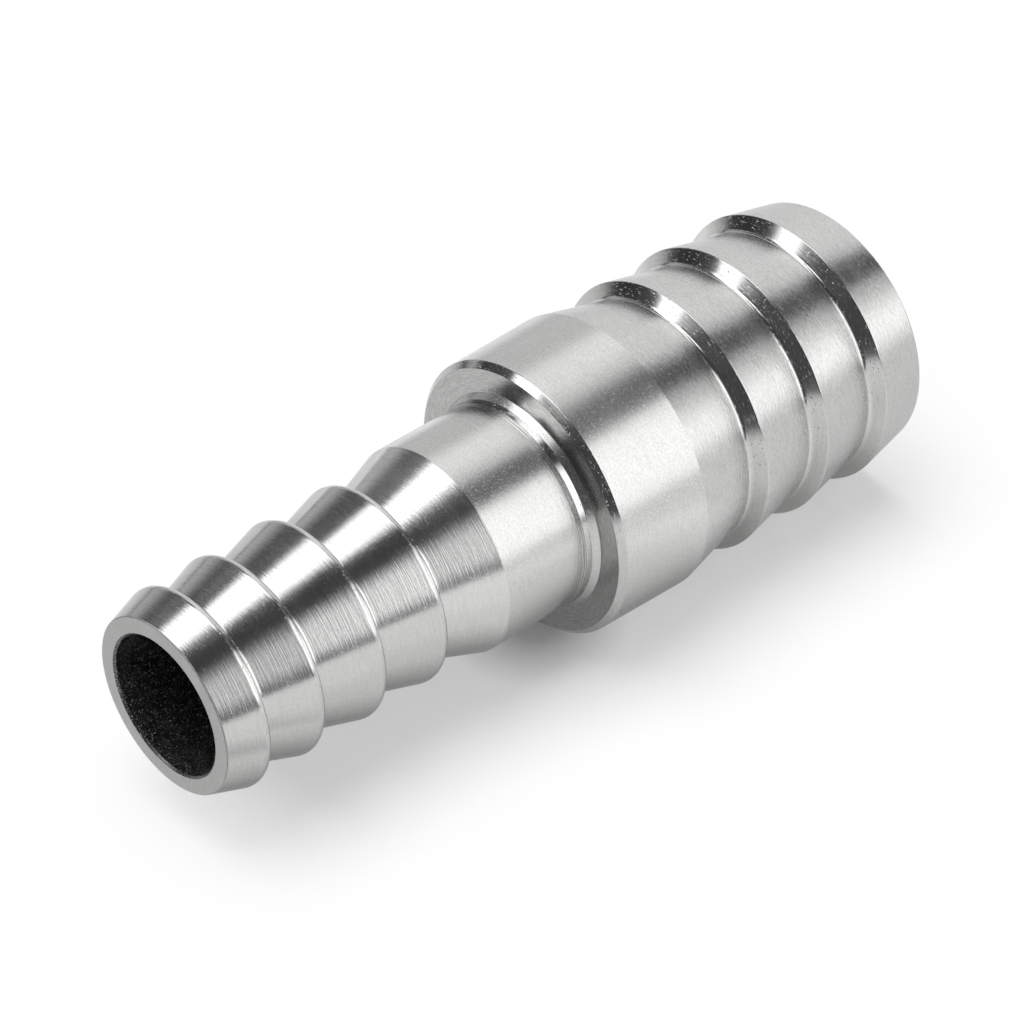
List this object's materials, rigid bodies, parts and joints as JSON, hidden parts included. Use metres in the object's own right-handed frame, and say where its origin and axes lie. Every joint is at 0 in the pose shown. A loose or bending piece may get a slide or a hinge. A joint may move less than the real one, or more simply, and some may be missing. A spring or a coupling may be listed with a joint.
{
  "type": "hose barb reducer",
  "caption": "Straight turned-steel hose joiner with a large and a small barbed tail, a shouldered collar between them and a stepped through bore.",
  "frame": {"origin": "centre of the large end face, on which the part stands", "axes": "+Z along the bore axis, from the large end up to the small end; +X and +Y are any two square directions, because the part is round"},
  "size_m": [0.0286, 0.0286, 0.0825],
  "materials": {
    "turned_steel": "bright fine-turned stainless steel, matte on the sawn and faced ends"
  },
  "bodies": {
    "root": {"reducer_body": "turned_steel"}
  },
  "joints": []
}
